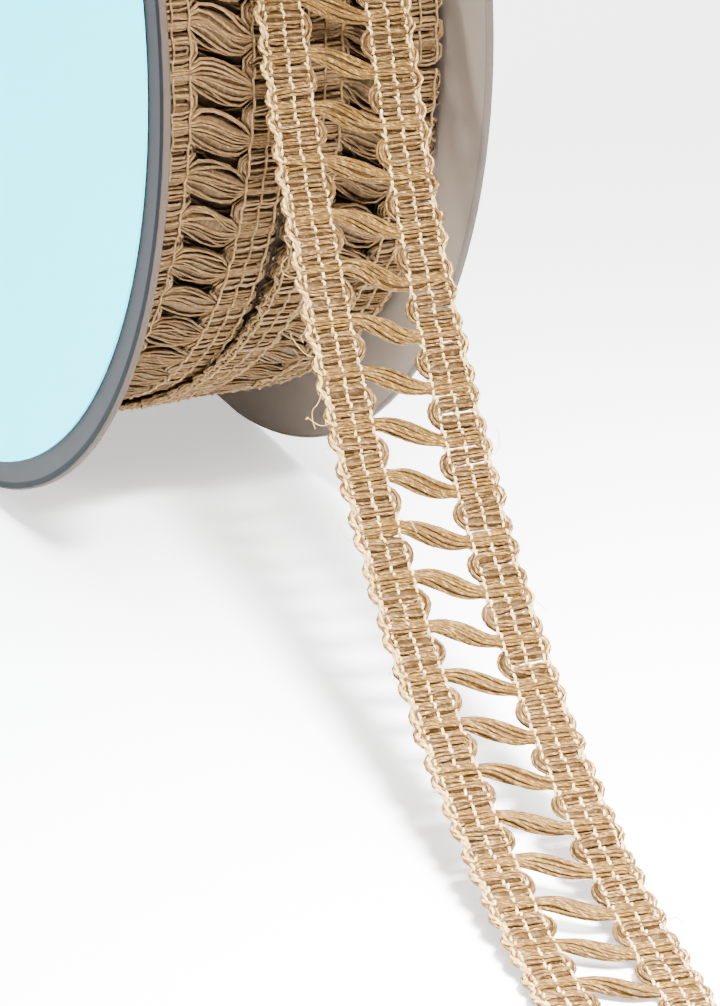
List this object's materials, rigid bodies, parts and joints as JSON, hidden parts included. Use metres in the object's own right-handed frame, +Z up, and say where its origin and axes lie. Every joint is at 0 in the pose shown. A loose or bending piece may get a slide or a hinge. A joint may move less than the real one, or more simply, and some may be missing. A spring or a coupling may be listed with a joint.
{
  "type": "braid trim on a reel",
  "caption": "Openwork ladder braid wound in two columns on a flanged reel, with its loose end falling in a curve to the floor.",
  "frame": {"origin": "on the floor, under the middle of the whole object's box", "axes": "+X along the reel's axis from the card's side to the far flange, -Y the way the loose end falls, +Z up"},
  "size_m": [0.0704, 0.404, 0.2021],
  "materials": {
    "flange_board": "smooth grey board with a darker rim",
    "barrel_board": "plain brown board",
    "card_paper": "plain pale cyan coated card",
    "braid_yarn": "tan yarn with cream binding threads, openwork ladder braid"
  },
  "bodies": {
    "root": {"near_flange": "flange_board", "far_flange": "flange_board", "barrel": "barrel_board", "face_card": "card_paper", "wound_braid": "braid_yarn", "loose_end": "braid_yarn"}
  },
  "joints": []
}
